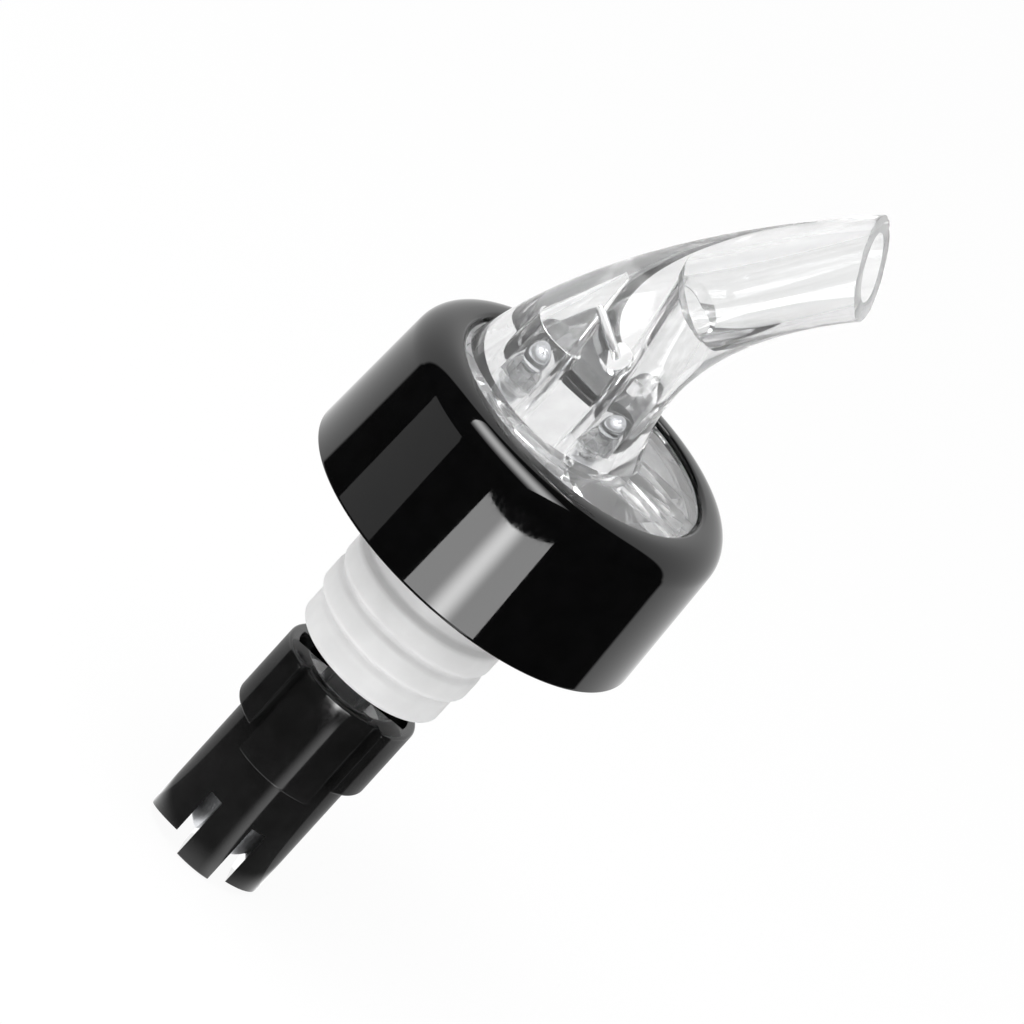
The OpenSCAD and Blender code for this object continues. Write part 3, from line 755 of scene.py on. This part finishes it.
overhead = wNodes.new("ShaderNodeMapRange")  # the ceiling is the brightest part of the room
overhead.inputs["From Min"].default_value = 0.25
overhead.inputs["From Max"].default_value = 0.75
overhead.inputs["To Min"].default_value = 0.45
overhead.inputs["To Max"].default_value = 2.0
wLinks.new(height.outputs["Z"], overhead.inputs["Value"])
dimSide = wNodes.new("ShaderNodeMix")
dimSide.data_type = "FLOAT"
wLinks.new(overhead.outputs["Result"], dimSide.inputs["B"])
within = wNodes.new("ShaderNodeMath")  # light that has come in through the clear head
within.operation = "MINIMUM"
within.inputs[1].default_value = 1.0
wLinks.new(rays.outputs["Diffuse Depth"], within.inputs[0])
overTop = wNodes.new("ShaderNodeMapRange")
overTop.inputs["To Min"].default_value = 2.0
overTop.inputs["To Max"].default_value = 5.0
wLinks.new(within.outputs["Value"], overTop.inputs["Value"])
wLinks.new(overTop.outputs["Result"], overhead.inputs["To Max"])
wLinks.new(rays.outputs["Is Transmission Ray"], dimSide.inputs["Factor"])
wLinks.new(softSide.outputs["Result"], dimSide.inputs["A"])
softWall = wNodes.new("ShaderNodeMix")
softWall.data_type = "FLOAT"
softWall.inputs["A"].default_value = 0.95
softWall.inputs["B"].default_value = 0.86
wLinks.new(rays.outputs["Is Diffuse Ray"], softWall.inputs["Factor"])
wallMix = wNodes.new("ShaderNodeMix")
wallMix.data_type = "FLOAT"
wLinks.new(wallEdge.outputs["Result"], wallMix.inputs["Factor"])
wLinks.new(dimSide.outputs["Result"], wallMix.inputs["A"])
wLinks.new(softWall.outputs["Result"], wallMix.inputs["B"])
seen = wNodes.new("ShaderNodeMath")
seen.operation = "MAXIMUM"
wLinks.new(rays.outputs["Is Camera Ray"], seen.inputs[0])
wLinks.new(wallMix.outputs["Result"], seen.inputs[1])
wLinks.new(seen.outputs["Value"], backdrop.inputs["Strength"])
backdrop.inputs["Color"].default_value = (1, 1, 1, 1)

dropSelection()
bpy.ops.mesh.primitive_plane_add(size=3, location=(0, 0, cadBox[0][2] - 0.0002))
floor = bpy.context.object
floor.name = "floorPale"
paper = bpy.data.materials.new("floor_paper")
paper.use_nodes = True
fNodes, fLinks = paper.node_tree.nodes, paper.node_tree.links
matte = fNodes["Principled BSDF"]
matte.inputs["Base Color"].default_value = (0.85, 0.85, 0.85, 1)
matte.inputs["Roughness"].default_value = 0.9
glow = fNodes.new("ShaderNodeEmission")
glow.inputs["Color"].default_value = (1, 1, 1, 1)
fRays = fNodes.new("ShaderNodeLightPath")
lit = fNodes.new("ShaderNodeMath")
lit.operation = "MAXIMUM"
fLinks.new(fRays.outputs["Is Camera Ray"], lit.inputs[0])
fLinks.new(fRays.outputs["Is Transmission Ray"], lit.inputs[1])
share = fNodes.new("ShaderNodeMath")
share.operation = "MULTIPLY"
share.inputs[1].default_value = 0.94
fLinks.new(lit.outputs["Value"], share.inputs[0])
blendIn = fNodes.new("ShaderNodeMixShader")
fLinks.new(share.outputs["Value"], blendIn.inputs["Fac"])
shine = fNodes.new("ShaderNodeMixShader")  # painted reflection: for glossy rays the floor shows an emission pattern instead of its white, bright behind the object and dim in front
paintedReflection = fNodes.new("ShaderNodeEmission")
floorAt = fNodes.new("ShaderNodeTexCoord")
floorWay = fNodes.new("ShaderNodeVectorMath")
floorWay.operation = "NORMALIZE"
fLinks.new(floorAt.outputs["Object"], floorWay.inputs[0])
floorBack = fNodes.new("ShaderNodeVectorMath")
floorBack.operation = "DOT_PRODUCT"
floorBack.inputs[1].default_value = away
fLinks.new(floorWay.outputs["Vector"], floorBack.inputs[0])
floorEdge = fNodes.new("ShaderNodeMapRange")
floorEdge.inputs["From Min"].default_value = 0.27
floorEdge.inputs["From Max"].default_value = 0.31
floorEdge.inputs["To Min"].default_value = 0.02
fLinks.new(floorBack.outputs["Value"], floorEdge.inputs["Value"])


def floorFade(source, start, end, low, high):
    fade = fNodes.new("ShaderNodeMapRange")
    fade.interpolation_type = "SMOOTHSTEP"
    for socket, value in zip(("From Min", "From Max", "To Min", "To Max"), (start, end, low, high)):
        fade.inputs[socket].default_value = value
    fLinks.new(source, fade.inputs["Value"])
    return fade.outputs["Result"]


def floorMath(how, first, second):
    step = fNodes.new("ShaderNodeMath")
    step.operation = how
    fLinks.new(first, step.inputs[0])
    fLinks.new(second, step.inputs[1])
    return step.outputs["Value"]


reach = fNodes.new("ShaderNodeVectorMath")
reach.operation = "LENGTH"
fLinks.new(floorAt.outputs["Object"], reach.inputs[0])
reach = reach.outputs["Value"]
fLinks.new(floorFade(reach, 0.05, 0.12, 0.35, 0.95), floorEdge.inputs["To Max"])  # painted shadow: in reflections the floor is darker close by, as if the cup shaded it
floorSide = fNodes.new("ShaderNodeVectorMath")
floorSide.operation = "DOT_PRODUCT"
floorSide.inputs[1].default_value = side
fLinks.new(floorWay.outputs["Vector"], floorSide.inputs[0])
toward = floorMath("ARCTAN2", floorBack.outputs["Value"], floorSide.outputs["Value"])  # -90 degrees is the camera's side
# painted light patch on the floor, seen only in reflections, that draws the highlight stripe on the cup
paintedLightPatch = floorMath("MULTIPLY", floorFade(toward, math.radians(-80), math.radians(-61), 0, 2.0),
                   floorFade(toward, math.radians(-60.5), math.radians(-59), 1, 0))
paintedLightPatch = floorMath("MULTIPLY", paintedLightPatch, floorFade(reach, 0.07, 0.09, 1, 0))
# painted glow under the cup, seen only in reflections, that puts the bright crescent on the timing ball
under = floorMath("ADD", floorFade(reach, 0.007, 0.014, 1.2, 0), floorFade(reach, 0.02, 0.05, 0.08, 0))
spread = floorMath("ADD", floorMath("ADD", floorEdge.outputs["Result"], paintedLightPatch), under)
# strength of the painted reflection: dim front, bright back, painted shade close by, a painted light patch and a
# painted glow under the cup
fLinks.new(spread, paintedReflection.inputs["Strength"])
fLinks.new(fRays.outputs["Is Glossy Ray"], shine.inputs["Fac"])
fLinks.new(matte.outputs["BSDF"], shine.inputs[1])
fLinks.new(paintedReflection.outputs["Emission"], shine.inputs[2])
fLinks.new(shine.outputs["Shader"], blendIn.inputs[1])
fLinks.new(glow.outputs["Emission"], blendIn.inputs[2])
fLinks.new(blendIn.outputs["Shader"], fNodes["Material Output"].inputs["Surface"])
floor.data.materials.append(paper)
bpy.context.scene.view_settings.view_transform = "Standard"
bpy.context.scene.cycles.max_bounces = 32  # the clear head needs many inner reflections
bpy.context.scene.cycles.transmission_bounces = 32
bpy.context.scene.cycles.glossy_bounces = 32
print("studio set")
